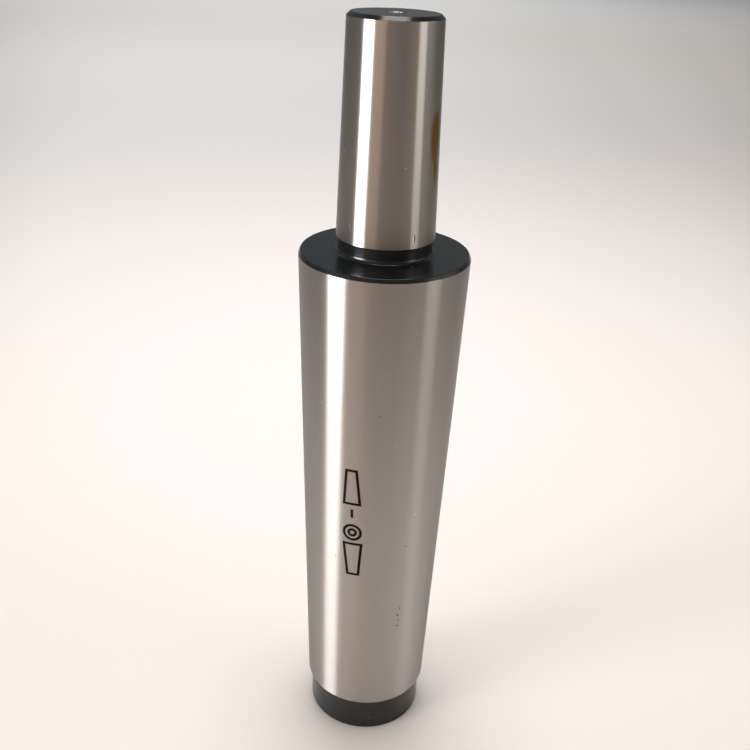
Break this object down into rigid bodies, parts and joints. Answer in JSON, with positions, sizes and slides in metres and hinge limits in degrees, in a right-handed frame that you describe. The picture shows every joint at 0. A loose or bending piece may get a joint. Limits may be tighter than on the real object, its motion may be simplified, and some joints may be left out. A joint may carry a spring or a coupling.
{
  "type": "drill chuck arbor",
  "caption": "One-piece ground steel arbor: a long Morse taper shank with a drawbar thread, a short black neck and a stub taper that carries a drill chuck.",
  "frame": {"origin": "centre of the small end face of the Morse taper shank, on which the arbor stands", "axes": "+Z along the arbor's axis, from the drawbar end of the shank to the nose of the chuck taper; X and Y are equal by symmetry"},
  "size_m": [0.0316, 0.0316, 0.1488],
  "materials": {
    "ground_steel": "hardened steel, cylindrically ground on both tapers, black oxide on the shoulder, neck, nose face and small end"
  },
  "bodies": {
    "root": {"chuck_arbor": "ground_steel"}
  },
  "joints": []
}
